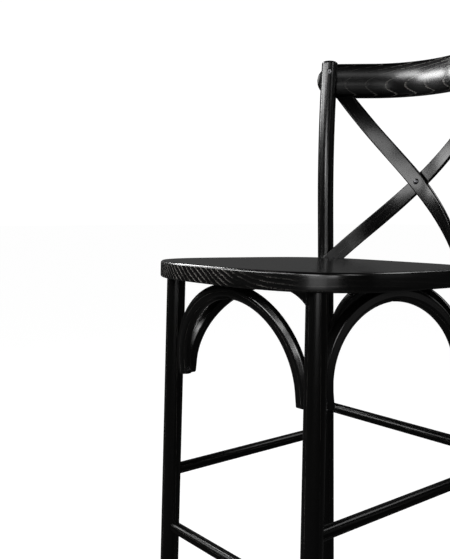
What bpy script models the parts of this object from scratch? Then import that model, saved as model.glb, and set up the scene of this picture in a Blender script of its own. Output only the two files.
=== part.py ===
"""Cross back bar stool in black stained wood, as the separate pieces it is glued and screwed from.

Metres, +Z up, the sitter faces -Y. The origin is on the floor, under the middle of the stool's box.
"""
import bpy
import bmesh
from math import asin, cos, pi, radians, sin, tan
from mathutils import Matrix, Vector

# Seat: one board on a rounded square outline, falling a little towards the back
SEAT_HEIGHT = 0.760
SEAT_FRONT_WIDTH = 0.471
SEAT_REAR_WIDTH = 0.428
SEAT_DEPTH = 0.462
SEAT_THICKNESS = 0.028
SEAT_FALL = radians(1.45)
SEAT_FRONT_SQUARENESS = 3.05
SEAT_REAR_SQUARENESS = 4.0
SEAT_EDGE_ROUND = 0.004

# Front legs: straight and round, tenoned into the seat, feet splayed forwards and outwards
LEG_DIAMETER = 0.032
FRONT_LEG_INSET = 0.0655
FRONT_SPLAY = radians(1.62)
SIDE_SPLAY = radians(0.75)
TENON_DIAMETER = 0.022
TENON_LENGTH = 0.018

# Rear legs: each runs on above the seat as a back post, bent gently backwards
POST_CORNER = radians(51.6)
POST_BITE = 0.008
REAR_SPLAY = radians(1.2)
POST_RISE = 0.3895
POST_BEND_START = 0.100
POST_BEND_RADIUS = 3.0
POST_TOP_ROUND = 0.005

# Crest rail: a board with tapered round ends and a crowned front, bent in its middle, let into the posts
CREST_HEIGHT = 0.068
CREST_THICKNESS = 0.022
CREST_ROUND = 0.006
CREST_CROWN = 0.003
CREST_BOW = 0.1163
CREST_TURN = radians(43.5)
CREST_RAKE = radians(1.7)
CREST_OVERHANG = 0.024
CREST_END_LENGTH = 0.046
CREST_BELOW_POST_TOP = 0.0335
CREST_HOUSING = 0.004

# Crossed slats: two flat strips that lie on the back's curved surface, one behind the other
SLAT_WIDTH = 0.029
SLAT_THICKNESS = 0.0065
SLAT_ROUND = 0.0015
SLAT_GAP = 0.0006
SLAT_SWEEP = 0.045
CROSSING_RISE = 0.1441
CROSSING_SETBACK = 0.049
SLAT_FOOT_INSET = 0.0233
SLAT_FOOT_GAP = 0.0124
SLAT_FOOT_DEPTH = 0.009
SLAT_HEAD_DEPTH = 0.016
SLAT_FOOT_TRIM = 0.012
RIVET_HEAD_DIAMETER = 0.0115
RIVET_HEAD_HEIGHT = 0.0026
RIVET_SHANK_DIAMETER = 0.005

# Arches: bentwood hoops under the seat, screwed to the legs and to the seat
ARCH_DEPTH = 0.0245
ARCH_WIDTH = 0.0195
ARCH_ROUND = 0.009
ARCH_DROP = 0.190
SIDE_ARCH_DROP = 0.194
ARCH_SHANK = 0.018
ARCH_BITE = 0.004
SIDE_ARCH_BITE = 0.0015
ARCH_SET_IN = 0.005
FRONT_ARCH_LEAN = -0.014
SIDE_ARCH_LEAN = 0.0255
BACK_ARCH_LEAN = -0.008
ARCH_SCREW_RISE = 0.0080
SIDE_ARCH_SCREW_RISE = 0.0220

# Stretchers: plain round rods in blind sockets, at staggered heights
STRETCHER_DIAMETER = 0.020
STRETCHER_SOCKET = 0.009
SIDE_STRETCHER_DROP = 0.370
REAR_STRETCHER_RISE = 0.052
FOOT_REST_FALL = 0.100

# Screws: countersunk wood screws, sunk below the surface
SCREW_HEAD_DIAMETER = 0.0080
SCREW_HEAD_LENGTH = 0.0030
SCREW_SHANK_DIAMETER = 0.0036
SCREW_TIP_LENGTH = 0.0040
SCREW_SINK = 0.0020
SCREW_BITE = 0.0085
SEAT_SCREW_BITE = 0.0130
CREST_SCREW_RISE = 0.012
CREST_SCREW_BITE = 0.014
POST_SCREW_BITE = 0.030

# Foot glides: nylon discs nailed under the feet
GLIDE_DIAMETER = 0.024
GLIDE_HEIGHT = 0.005
GLIDE_NAIL_DIAMETER = 0.003
GLIDE_NAIL_LENGTH = 0.014

# Gap left between pieces that touch, and how far a cutter runs past what it cuts
CLEARANCE = 0.0003
OVERRUN = 0.005

# Facets
OUTLINE_POINTS = 76
ROUND_STEPS = 28
SCREW_STEPS = 10
ARCH_POINTS = 11
POST_BEND_POINTS = 9
BEND_CUTS = 16
CROWN_CUTS = 4
SLAT_CUTS = 32

# Finishes: colour, roughness, metallic
BLACK_WOOD = ((0.010, 0.010, 0.0105), 0.34, 0.0)
BLACK_STEEL = ((0.020, 0.020, 0.021), 0.38, 0.9)
BLACK_NYLON = ((0.016, 0.016, 0.016), 0.55, 0.0)

LEG_RADIUS = LEG_DIAMETER / 2
HALF_DEPTH = SEAT_DEPTH / 2
SIDES = {"right": -1, "left": 1}

for leftover in list(bpy.data.objects):
    bpy.data.objects.remove(leftover, do_unlink=True)


def collection(name):
    """A new collection in the scene."""
    made = bpy.data.collections.new(name)
    bpy.context.scene.collection.children.link(made)
    return made


PARTS = collection("cross_back_bar_stool")
CUTTERS = collection("cutters")


def empty(name):
    """A parent that carries every piece, so that the whole stool can be set on its origin."""
    made = bpy.data.objects.new(name, None)
    PARTS.objects.link(made)
    return made


STOOL = empty("stool_origin")


def part(obj, name, finish):
    """Make an object a finished piece of the stool under the name of its node."""
    colour, roughness, metallic = finish
    obj.name = name
    obj.data.name = name
    paint = bpy.data.materials.new(name + "_finish")
    paint.use_nodes = True
    shader = paint.node_tree.nodes["Principled BSDF"]
    shader.inputs["Base Color"].default_value = (*colour, 1.0)
    shader.inputs["Roughness"].default_value = roughness
    shader.inputs["Metallic"].default_value = metallic
    obj.data.materials.clear()
    obj.data.materials.append(paint)
    PARTS.objects.link(obj)
    obj.parent = STOOL
    return obj


def cutter(obj, name):
    """Make an object a hidden cutting shape."""
    obj.name = name
    CUTTERS.objects.link(obj)
    obj.parent = STOOL
    obj.hide_render = True
    obj.display_type = "WIRE"
    return obj


def cut(target, *tools):
    """Take cutting shapes out of a piece."""
    for tool in tools:
        step = target.modifiers.new(tool.name, "BOOLEAN")
        step.operation = "DIFFERENCE"
        step.solver = "EXACT"
        step.object = tool


def mesh_object(bm):
    """Close a bmesh into a smooth-shaded object."""
    mesh = bpy.data.meshes.new("shape")
    bm.to_mesh(mesh)
    bm.free()
    mesh.shade_smooth()
    mesh.set_sharp_from_angle(angle=radians(35))
    return bpy.data.objects.new("shape", mesh)


def curve_mesh(curve):
    """Turn a curve into a closed mesh object: evaluate it, weld its caps, drop the curve."""
    source = bpy.data.objects.new("curve", curve)
    bpy.context.scene.collection.objects.link(source)
    bpy.context.view_layer.update()
    graph = bpy.context.evaluated_depsgraph_get()
    mesh = bpy.data.meshes.new_from_object(source.evaluated_get(graph))
    bpy.data.objects.remove(source, do_unlink=True)
    bm = bmesh.new()
    bm.from_mesh(mesh)
    bpy.data.meshes.remove(mesh)
    bmesh.ops.remove_doubles(bm, verts=bm.verts, dist=0.00001)
    bmesh.ops.recalc_face_normals(bm, faces=bm.faces)
    return mesh_object(bm)


def poly_curve(points, dimensions="3D", closed=False):
    """A curve through points, joined by straight pieces."""
    curve = bpy.data.curves.new("path", "CURVE")
    curve.dimensions = dimensions
    spline = curve.splines.new("POLY")
    spline.points.add(len(points) - 1)
    for slot, point in zip(spline.points, points):
        slot.co = (*point, 1.0)
    spline.use_cyclic_u = closed
    return curve


def plate(outline, thickness, edge_round=0.0):
    """A flat board on a closed outline in XY, its thickness centred on Z, with rounded edges."""
    curve = poly_curve([(x, y, 0.0) for x, y in outline], "2D", True)
    curve.fill_mode = "BOTH"
    curve.extrude = thickness / 2 - edge_round
    curve.bevel_depth = edge_round
    curve.bevel_resolution = 2
    curve.offset = -edge_round
    return curve_mesh(curve)


def rod(points, radius):
    """A round bar along a path."""
    curve = poly_curve(points)
    curve.bevel_depth = radius
    curve.bevel_resolution = ROUND_STEPS // 4 - 2
    curve.use_fill_caps = True
    return curve_mesh(curve)


def turned(profile, steps=ROUND_STEPS):
    """A shape turned about Z from (radius, height) points that run from its top to its bottom."""
    mesh = bpy.data.meshes.new("profile")
    lines = [(i, i + 1) for i in range(len(profile) - 1)]
    mesh.from_pydata([(radius, 0.0, height) for radius, height in profile], lines, [])
    obj = bpy.data.objects.new("turned", mesh)
    lathe = obj.modifiers.new("turn", "SCREW")
    lathe.steps = steps
    lathe.render_steps = steps
    lathe.use_merge_vertices = True
    lathe.merge_threshold = 0.00001
    lathe.use_smooth_shade = True
    return obj


def cylinder_between(start, end, radius, steps=ROUND_STEPS):
    """A round bar from one point to another."""
    bm = bmesh.new()
    bmesh.ops.create_cone(
        bm, cap_ends=True, segments=steps, radius1=radius, radius2=radius, depth=(end - start).length)
    obj = mesh_object(bm)
    obj.location = (start + end) / 2
    obj.rotation_euler = (end - start).to_track_quat("Z", "Y").to_euler()
    return obj


def stand(obj, place, direction):
    """Set an object's origin at a place, with its own Z along a direction."""
    obj.location = place
    obj.rotation_euler = direction.to_track_quat("Z", "Y").to_euler()
    return obj


def bow_power(base, power):
    """A signed power, which keeps the side that its base is on."""
    return abs(base) ** power * (1 if base >= 0 else -1)


def seat_outline(angle):
    """Seat edge seen from above: a superellipse, narrower and squarer towards the back."""
    power = 2 / (SEAT_REAR_SQUARENESS if sin(angle) > 0 else SEAT_FRONT_SQUARENESS)
    along = bow_power(sin(angle), power)
    half_width = (SEAT_FRONT_WIDTH * (1 - along) + SEAT_REAR_WIDTH * (1 + along)) / 4
    return Vector((half_width * bow_power(cos(angle), power), HALF_DEPTH * along))


def seat_edge_normal(angle):
    """Outward direction square to the seat's edge."""
    step = radians(0.1)
    run = seat_outline(angle + step) - seat_outline(angle - step)
    return Vector((run.y, -run.x)).normalized()


def seat_top(y):
    """Height of the seat's top face, which falls towards the back."""
    return SEAT_HEIGHT - y * tan(SEAT_FALL)


SEAT_NORMAL = Vector((0.0, sin(SEAT_FALL), cos(SEAT_FALL)))


def seat_under(y):
    """Height of the seat's lower face."""
    return seat_top(y) - SEAT_THICKNESS / cos(SEAT_FALL)


# Places of the legs, as points on their axes at any height
FRONT_LEG_X = SEAT_FRONT_WIDTH / 2 - FRONT_LEG_INSET
FRONT_LEG_Y = FRONT_LEG_INSET - HALF_DEPTH
FRONT_LEG_TOP = seat_under(FRONT_LEG_Y)
CORNER_NORMAL = seat_edge_normal(POST_CORNER)
POST_PLACE = seat_outline(POST_CORNER) + CORNER_NORMAL * (LEG_RADIUS - POST_BITE)
POST_X = POST_PLACE.x


def front_axis(side, height):
    """Point on a front leg's axis."""
    drop = FRONT_LEG_TOP - height
    x = FRONT_LEG_X + drop * tan(SIDE_SPLAY)
    return Vector((side * x, FRONT_LEG_Y - drop * tan(FRONT_SPLAY), height))


def rear_axis(side, height):
    """Point on a rear leg's axis: straight, then on a wide arc above the start of its bend."""
    rise = height - SEAT_HEIGHT
    past = max(0.0, rise - POST_BEND_START)
    back = POST_BEND_RADIUS - (POST_BEND_RADIUS ** 2 - past ** 2) ** 0.5
    return Vector((side * POST_X, POST_PLACE.y - rise * tan(REAR_SPLAY) + back, height))


AXES = {"front": front_axis, "rear": rear_axis}


# Seat
def seat_board():
    """The board on the seat's outline, set at its height and fall."""
    outline = [seat_outline(2 * pi * i / OUTLINE_POINTS) for i in range(OUTLINE_POINTS)]
    board = plate(outline, SEAT_THICKNESS, SEAT_EDGE_ROUND)
    board.location = Vector((0.0, 0.0, SEAT_HEIGHT)) - SEAT_NORMAL * SEAT_THICKNESS / 2
    board.rotation_euler.x = -SEAT_FALL
    return board


seat = part(seat_board(), "seat_panel", BLACK_WOOD)

# Floor line at which every foot is cut level, above its glide
trim_block = bmesh.new()
bmesh.ops.create_cube(trim_block, size=1.0)
foot_trim = mesh_object(trim_block)
foot_trim.location.z = GLIDE_HEIGHT + CLEARANCE - 0.5
cutter(foot_trim, "foot_trim")

# Front legs
legs = {}
leg_clear = {}
for word, side in SIDES.items():
    top = front_axis(side, FRONT_LEG_TOP)
    direction = (top - front_axis(side, 0.0)).normalized()
    shoulder_gap = CLEARANCE + LEG_RADIUS * direction.cross(SEAT_NORMAL).length
    tenon = TENON_DIAMETER / 2
    chamfer = TENON_DIAMETER / 12
    length = FRONT_LEG_TOP + OVERRUN
    profile = [
        (0.0, TENON_LENGTH - shoulder_gap), (tenon - chamfer, TENON_LENGTH - shoulder_gap),
        (tenon, TENON_LENGTH - shoulder_gap - chamfer), (tenon, -shoulder_gap),
        (LEG_RADIUS - chamfer, -shoulder_gap), (LEG_RADIUS, -shoulder_gap - chamfer),
        (LEG_RADIUS, -length), (0.0, -length)]
    leg = part(stand(turned(profile), top, direction), f"front_leg_{word}", BLACK_WOOD)
    cut(leg, foot_trim)
    legs["front", word] = leg
    socket = cylinder_between(
        top - direction * OVERRUN, top + direction * (TENON_LENGTH + CLEARANCE), tenon + CLEARANCE)
    cut(seat, cutter(socket, f"leg_socket_{word}"))
    clear = cylinder_between(front_axis(side, 0.0), top, LEG_RADIUS + CLEARANCE)
    leg_clear["front", word] = cutter(clear, f"front_leg_clear_{word}")

# Rear legs with their back posts
for word, side in SIDES.items():
    origin = rear_axis(side, SEAT_HEIGHT)
    bend = SEAT_HEIGHT + POST_BEND_START
    top = SEAT_HEIGHT + POST_RISE
    heights = [0.0] + [bend + (top - bend) * i / (POST_BEND_POINTS - 1) for i in range(POST_BEND_POINTS)]
    post = rod([rear_axis(side, z) - origin for z in heights], LEG_RADIUS)
    post.location = origin
    rounding = post.modifiers.new("round_end", "BEVEL")
    rounding.width = POST_TOP_ROUND
    rounding.segments = 3
    rounding.limit_method = "ANGLE"
    rounding.angle_limit = radians(60)
    legs["rear", word] = part(post, f"rear_leg_{word}", BLACK_WOOD)
    cut(post, foot_trim)
    clear = cylinder_between(rear_axis(side, 0.0), rear_axis(side, bend), LEG_RADIUS + CLEARANCE)
    leg_clear["rear", word] = cutter(clear, f"rear_leg_clear_{word}")
    cut(seat, leg_clear["rear", word])


# Screws
def screw_profile(length, grow=0.0, lead=0.0):
    """Countersunk screw from its head's top at height zero down to its tip, or its hole if grown."""
    head = SCREW_HEAD_DIAMETER / 2 + grow
    shank = SCREW_SHANK_DIAMETER / 2 + grow
    rim = SCREW_HEAD_LENGTH / 4
    return [
        (0.0, lead), (head, lead), (head, -rim), (shank, -SCREW_HEAD_LENGTH),
        (shank, SCREW_TIP_LENGTH - length), (0.0, -length - grow)]


def screw(name, place, direction, length, *held):
    """A screw driven from a place on a surface, sunk below it, with its hole in the pieces it holds."""
    sunk = place + direction * SCREW_SINK
    part(stand(turned(screw_profile(length), SCREW_STEPS), sunk, -direction), name, BLACK_STEEL)
    hole = turned(screw_profile(length, CLEARANCE, SCREW_SINK + OVERRUN), SCREW_STEPS)
    cutter(stand(hole, sunk, -direction), f"{name}_hole")
    for piece in held:
        cut(piece, hole)


# Arches
def arch_path(half_foot, half_spring, shank, rise):
    """Middle line of a hoop in its own plane: short straight shanks and half an ellipse over them."""
    turns = [pi * i / (2 * ARCH_POINTS) for i in range(2 * ARCH_POINTS + 1)]
    over = [(half_spring * cos(turn), shank + (rise - shank) * sin(turn)) for turn in turns]
    return [(half_foot, 0.0)] + over + [(-half_foot, 0.0)]


def rounded_box(width, height, corner):
    """Closed profile of a rectangle with round corners."""
    points = []
    for quarter in range(4):
        middle = Matrix.Rotation(quarter * pi / 2, 2) @ Vector((1.0, 1.0))
        centre = Vector((middle.x * (width / 2 - corner), middle.y * (height / 2 - corner)))
        for i in range(3):
            turn = quarter * pi / 2 + i * pi / 4
            points.append(centre + Vector((cos(turn), sin(turn))) * corner)
    return points


def hoop(path, profile):
    """A bar of the given profile bent along a flat path in XY."""
    section = bpy.data.objects.new("section", poly_curve([(x, y, 0.0) for x, y in profile], "2D", True))
    bpy.context.scene.collection.objects.link(section)
    curve = poly_curve([(x, y, 0.0) for x, y in path])
    curve.twist_mode = "Z_UP"
    curve.bevel_mode = "OBJECT"
    curve.bevel_object = section
    curve.use_fill_caps = True
    made = curve_mesh(curve)
    bpy.data.objects.remove(section, do_unlink=True)
    return made


def arch(name, ends, inward, lean, drop, bite, screw_rise):
    """A hoop between two legs, set a little inwards, its crown under the seat and leaning by an offset."""
    axes = [lambda z, pair=pair: AXES[pair[0]](SIDES[pair[1]], z) for pair in ends]
    foot_height = SEAT_HEIGHT - drop
    feet = [axis(foot_height) + inward * ARCH_SET_IN for axis in axes]
    crown = sum((axis(SEAT_HEIGHT - SEAT_THICKNESS) for axis in axes), Vector()) / 2 + inward * lean
    crown.z = seat_under(crown.y) - (CLEARANCE + ARCH_DEPTH / 2) / cos(SEAT_FALL)
    middle = (feet[0] + feet[1]) / 2
    across = (feet[1] - feet[0]).normalized()
    up = (crown - middle) - (crown - middle).dot(across) * across
    rise = up.length - CLEARANCE
    up.normalize()
    spring = [axis(foot_height + ARCH_SHANK) for axis in axes]
    inset = LEG_RADIUS - bite + ARCH_DEPTH / 2
    half_foot = (feet[1] - feet[0]).length / 2 - inset
    half_spring = (spring[1] - spring[0]).length / 2 - inset
    path = arch_path(half_foot, half_spring, ARCH_SHANK, rise)
    body = part(hoop(path, rounded_box(ARCH_DEPTH, ARCH_WIDTH, ARCH_ROUND)), name, BLACK_WOOD)
    pose = Matrix((across, up, across.cross(up))).transposed().to_4x4()
    pose.translation = middle
    body.matrix_world = pose
    leg_length = ARCH_DEPTH - bite - SCREW_SINK + SCREW_BITE
    for sign, pair in ((-1, ends[0]), (1, ends[1])):
        cut(body, leg_clear[pair])
        place = pose @ Vector((sign * (half_foot - ARCH_DEPTH / 2), screw_rise, 0.0))
        screw(f"{name}_screw_{'_'.join(pair)}", place, across * sign, leg_length, body, legs[pair])
    place = pose @ Vector((0.0, rise - ARCH_DEPTH / 2, 0.0))
    screw(f"{name}_screw_seat", place, up, ARCH_DEPTH - SCREW_SINK + SEAT_SCREW_BITE, body, seat)


BACKWARD = Vector((0.0, 1.0, 0.0))
front_pair = (("front", "right"), ("front", "left"))
rear_pair = (("rear", "right"), ("rear", "left"))
arch("arch_front", front_pair, BACKWARD, FRONT_ARCH_LEAN, ARCH_DROP, ARCH_BITE, ARCH_SCREW_RISE)
arch("arch_back", rear_pair, -BACKWARD, BACK_ARCH_LEAN, ARCH_DROP, ARCH_BITE, ARCH_SCREW_RISE)
for word, side in SIDES.items():
    inward = Vector((-side, 0.0, 0.0))
    side_pair = (("front", word), ("rear", word))
    arch(f"arch_{word}", side_pair, inward, SIDE_ARCH_LEAN, SIDE_ARCH_DROP, SIDE_ARCH_BITE,
         SIDE_ARCH_SCREW_RISE)


# Stretchers
def stretcher(name, ends, height):
    """A round rod between two legs, its ends in blind sockets."""
    axes = [AXES[row](SIDES[word], height) for row, word in ends]
    run = (axes[1] - axes[0]).normalized()
    stop = LEG_RADIUS - STRETCHER_SOCKET
    radius = STRETCHER_DIAMETER / 2
    start, end = axes[0] + run * stop, axes[1] - run * stop
    part(cylinder_between(start, end, radius), name, BLACK_WOOD)
    reach = run * CLEARANCE
    socket = cutter(cylinder_between(start - reach, end + reach, radius + CLEARANCE), f"{name}_sockets")
    for pair in ends:
        cut(legs[pair], socket)


side_height = SEAT_HEIGHT - SIDE_STRETCHER_DROP
stretcher("foot_rest_front", front_pair, side_height - FOOT_REST_FALL)
stretcher("stretcher_back", rear_pair, side_height + REAR_STRETCHER_RISE)
for word in SIDES:
    stretcher(f"stretcher_{word}", (("front", word), ("rear", word)), side_height)

# Crest rail: its plan is an arc with straight ends, which lie square behind the posts
crest_height = SEAT_HEIGHT + POST_RISE - CREST_BELOW_POST_TOP
crest_place = rear_axis(0, crest_height)
crest_pose = Matrix.Translation(crest_place) @ Matrix.Rotation(-CREST_RAKE, 4, "X")
post_to_crest = LEG_RADIUS - CREST_HOUSING + CREST_THICKNESS / 2
crest_apex = CREST_BOW + CREST_THICKNESS / 2
plan_reach = POST_X + post_to_crest * sin(CREST_TURN)
plan_fall = crest_apex - post_to_crest * cos(CREST_TURN)
crest_radius = (plan_reach * sin(CREST_TURN) - plan_fall * cos(CREST_TURN)) / (1 - cos(CREST_TURN))
crest_straight = (plan_fall - crest_radius * (1 - cos(CREST_TURN))) / sin(CREST_TURN)


def plan_point(along):
    """Place on the back's plan at a distance along it from the middle, its fall from there, and its turn."""
    turn = max(-CREST_TURN, min(CREST_TURN, along / crest_radius))
    straight = along - turn * crest_radius
    x = crest_radius * sin(turn) + straight * cos(turn)
    fall = crest_radius * (1 - cos(turn)) + straight * sin(turn)
    return x, fall, turn


def plan_length(x):
    """Distance along the back's plan from its middle to a place beside it."""
    arc_reach = crest_radius * sin(CREST_TURN)
    if x < arc_reach:
        return crest_radius * asin(x / crest_radius)
    return crest_radius * CREST_TURN + (x - arc_reach) / cos(CREST_TURN)


def crest_outline(length, height, end, steps=8):
    """Closed outline of a board whose ends are half ellipses."""
    points = []
    for sign in (1, -1):
        for i in range(2 * steps + 1):
            turn = (i / steps - 1) * pi / 2
            points.append((sign * (length / 2 - end + end * cos(turn)), sign * height / 2 * sin(turn)))
    return points


def slice_board(obj, *cuts):
    """Cut a flat mesh into slices, each given by an axis, a reach to both sides and a count."""
    bm = bmesh.new()
    bm.from_mesh(obj.data)
    bmesh.ops.dissolve_limit(bm, angle_limit=radians(0.5), verts=bm.verts, edges=bm.edges)
    for axis, reach, count in cuts:
        normal = Vector((0.0, 0.0, 0.0))
        normal[axis] = 1.0
        for i in range(count + 1):
            place = normal * (2 * reach * i / count - reach)
            everything = bm.verts[:] + bm.edges[:] + bm.faces[:]
            bmesh.ops.bisect_plane(bm, geom=everything, plane_co=place, plane_no=normal, dist=0.00001)
    bmesh.ops.triangulate(bm, faces=bm.faces)
    bm.to_mesh(obj.data)
    bm.free()


def crest_board(grow=0.0):
    """The rail as a flat board, its front crowned across its height, then bent to the back's plan."""
    length = 2 * (crest_radius * CREST_TURN + crest_straight + CREST_OVERHANG + grow)
    outline = crest_outline(length, CREST_HEIGHT + 2 * grow, CREST_END_LENGTH + grow)
    thickness = CREST_THICKNESS + 2 * grow
    board = plate(outline, thickness, CREST_ROUND)
    slice_board(board, (1, CREST_HEIGHT / 2 - CREST_ROUND, CROWN_CUTS),
                (0, crest_radius * CREST_TURN, BEND_CUTS))
    for vertex in board.data.vertices:
        x, y, z = vertex.co
        crown = CREST_CROWN * (2 * y / CREST_HEIGHT) ** 2 * (z / thickness + 0.5)
        place, fall, turn = plan_point(x)
        out = crown - z
        vertex.co = (place + out * sin(turn), crest_apex - fall + out * cos(turn), y)
    board.data.update()
    board.matrix_world = crest_pose
    return board


crest = part(crest_board(), "crest_rail", BLACK_WOOD)
crest.matrix_world = crest_pose
crest_clear = cutter(crest_board(CLEARANCE), "crest_housing")
crest_clear.matrix_world = crest_pose
for word, side in SIDES.items():
    post = legs["rear", word]
    cut(post, crest_clear)
    outward = crest_pose.to_3x3() @ Vector((side * sin(CREST_TURN), cos(CREST_TURN), 0.0))
    place = crest_pose @ Vector((side * POST_X, 0.0, CREST_SCREW_RISE)) - outward * LEG_RADIUS
    length = LEG_DIAMETER - CREST_HOUSING - SCREW_SINK + CREST_SCREW_BITE
    screw(f"crest_screw_{word}", place, outward, length, post, crest)

# Screws through the posts into the seat's rear corners
for word, side in SIDES.items():
    inward = Vector((-side * CORNER_NORMAL.x, -CORNER_NORMAL.y, 0.0))
    height = seat_top(POST_PLACE.y) - SEAT_THICKNESS / 2
    place = rear_axis(side, height) - inward * LEG_RADIUS
    length = LEG_DIAMETER - SCREW_SINK + POST_SCREW_BITE
    screw(f"post_screw_{word}", place, inward, length, legs["rear", word], seat)

# Crossed slats, flat strips laid on the back, which has the crest's plan and leans from seat to crest
foot_x = POST_X - LEG_RADIUS - SLAT_FOOT_GAP
foot_y = HALF_DEPTH - SLAT_FOOT_INSET
foot_along = plan_length(foot_x)
crossing = Vector((0.0, HALF_DEPTH + CROSSING_SETBACK, SEAT_HEIGHT + CROSSING_RISE))
foot = Vector((foot_x, foot_y, seat_top(foot_y)))
slope = Vector((foot_along, crossing.z - foot.z)).normalized()
head_along = (crest_height - CREST_HEIGHT / 2 - crossing.z) * slope.x / slope.y
head_x, head_fall, head_turn = plan_point(head_along)
head = crest_pose @ Vector((head_x, crest_apex - head_fall, -CREST_HEIGHT / 2))


def back_profile():
    """Lean and curl of the back's middle line, so that the slats start, cross and end where they join."""
    low, high = foot.z - crossing.z, head.z - crossing.z
    at_low = (foot.y - crossing.y + plan_point(foot_along)[1]) / low
    at_high = (head.y - crossing.y + head_fall) / high
    curl = (at_high - at_low) / (high - low)
    return at_low - curl * low, curl


back_lean, back_curl = back_profile()


def back_surface(along, z):
    """Point of the back at a distance along its plan and a height, and its normal to the rear."""
    x, fall, turn = plan_point(along)
    rise = z - crossing.z
    y = crossing.y + back_lean * rise + back_curl * rise ** 2 - fall
    normal = Vector((sin(turn), cos(turn), -cos(turn) * (back_lean + 2 * back_curl * rise)))
    return Vector((x, y, z)), normal.normalized()


def slat_strip(mirror, layer, grow=0.0):
    """A strip swept a little sideways, trimmed at both ends, laid on the back and clear of the other."""
    low = foot.z - SLAT_FOOT_DEPTH
    high = head.z + SLAT_HEAD_DEPTH
    long = (high - low) / slope.y + 2 * SLAT_WIDTH
    bm = bmesh.new()
    bmesh.ops.create_cube(bm, size=1.0)
    bmesh.ops.scale(bm, vec=(long, SLAT_THICKNESS + 2 * grow, SLAT_WIDTH + 2 * grow), verts=bm.verts)
    long_edges = [edge for edge in bm.edges if abs(edge.verts[0].co.x - edge.verts[1].co.x) > SLAT_WIDTH]
    bmesh.ops.bevel(bm, geom=long_edges, offset=SLAT_ROUND, segments=2, profile=0.5, affect="EDGES")
    slices = [((long * (i / SLAT_CUTS - 0.5), 0, 0), (1, 0, 0)) for i in range(1, SLAT_CUTS)]
    for place, normal in slices + [((0, 0, 0), (0, 0, 1))]:
        everything = bm.verts[:] + bm.edges[:] + bm.faces[:]
        bmesh.ops.bisect_plane(bm, geom=everything, plane_co=place, plane_no=normal, dist=0.00001)
    bmesh.ops.triangulate(bm, faces=bm.faces, quad_method="FIXED")
    tilt = Matrix(((slope.x, 0.0, -slope.y), (0.0, 1.0, 0.0), (slope.y, 0.0, slope.x)))
    for vertex in bm.verts:
        vertex.co.z += SLAT_SWEEP * vertex.co.x ** 2
        vertex.co = tilt @ vertex.co + Vector((crossing.x, 0.0, crossing.z))
    foot_side = plan_length(POST_X - SLAT_FOOT_TRIM) + grow
    head_side = head_along + SLAT_WIDTH / 2 + grow
    trims = (((0, 0, low - grow), (0, 0, -1)), ((0, 0, high + grow), (0, 0, 1)),
             ((-foot_side, 0, 0), (-1, 0, 0)), ((head_side, 0, 0), (1, 0, 0)))
    for place, normal in trims:
        everything = bm.verts[:] + bm.edges[:] + bm.faces[:]
        made = bmesh.ops.bisect_plane(
            bm, geom=everything, plane_co=place, plane_no=normal, dist=0.00001, clear_outer=True)
        rim = [item for item in made["geom_cut"] if isinstance(item, bmesh.types.BMEdge)]
        bmesh.ops.contextual_create(bm, geom=rim)
    bmesh.ops.triangulate(bm, faces=bm.faces, quad_method="FIXED")
    bmesh.ops.recalc_face_normals(bm, faces=bm.faces)
    for vertex in bm.verts:
        along = vertex.co.x
        place, normal = back_surface(along, vertex.co.z)
        reach = head_along if along > 0 else foot_along
        apart = max(0.0, 1 - (along / reach) ** 4) * (SLAT_THICKNESS + SLAT_GAP) / 2
        laid = place + normal * (vertex.co.y + layer * apart)
        vertex.co = (mirror * laid.x, laid.y, laid.z)
    if mirror < 0:
        bmesh.ops.reverse_faces(bm, faces=bm.faces)
    return mesh_object(bm)


rivet_axis = back_surface(0.0, crossing.z)[1]
rivet_half = SLAT_THICKNESS + SLAT_GAP / 2 + CLEARANCE


def rivet_profile():
    """A shank with a domed head at each end, from its rear head to its front head."""
    head = RIVET_HEAD_DIAMETER / 2
    shank = RIVET_SHANK_DIAMETER / 2
    dome = [(head * sin(i * pi / 10), rivet_half + RIVET_HEAD_HEIGHT * cos(i * pi / 10)) for i in range(6)]
    lower = [(radius, -height) for radius, height in reversed(dome)]
    return dome + [(shank, rivet_half), (shank, -rivet_half)] + lower


rivet_hole = cylinder_between(
    crossing - rivet_axis * (rivet_half + OVERRUN), crossing + rivet_axis * (rivet_half + OVERRUN),
    RIVET_SHANK_DIAMETER / 2 + CLEARANCE, 12)
cutter(rivet_hole, "rivet_hole")
for word, mirror, layer, foot_side in (("front", -1, -1, "left"), ("rear", 1, 1, "right")):
    slat = part(slat_strip(mirror, layer), f"cross_slat_{word}", BLACK_WOOD)
    cut(slat, rivet_hole, leg_clear["rear", foot_side])
    slot = cutter(slat_strip(mirror, layer, CLEARANCE), f"slat_slots_{word}")
    cut(seat, slot)
    cut(crest, slot)
part(stand(turned(rivet_profile(), 12), crossing, rivet_axis), "cross_rivet", BLACK_STEEL)


# Foot glides
def glide_profile(grow=0.0):
    """A nail standing on a disc with a rounded lower edge, from the nail's tip to the disc's bottom."""
    nail = GLIDE_NAIL_DIAMETER / 2 + grow
    disc = GLIDE_DIAMETER / 2
    edge = GLIDE_HEIGHT / 4
    tip = GLIDE_HEIGHT + GLIDE_NAIL_LENGTH + grow
    return [(0.0, tip), (nail, tip - GLIDE_NAIL_DIAMETER), (nail, GLIDE_HEIGHT), (disc, GLIDE_HEIGHT),
            (disc, edge), (disc - edge, 0.0), (0.0, 0.0)]


for (row, word), leg in legs.items():
    place = AXES[row](SIDES[word], GLIDE_HEIGHT)
    place.z = 0.0
    glide = turned(glide_profile(), 16)
    glide.location = place
    part(glide, f"foot_glide_{row}_{word}", BLACK_NYLON)
    hole = turned(glide_profile(CLEARANCE), SCREW_STEPS)
    hole.location = place
    cut(leg, cutter(hole, f"glide_hole_{row}_{word}"))

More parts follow.
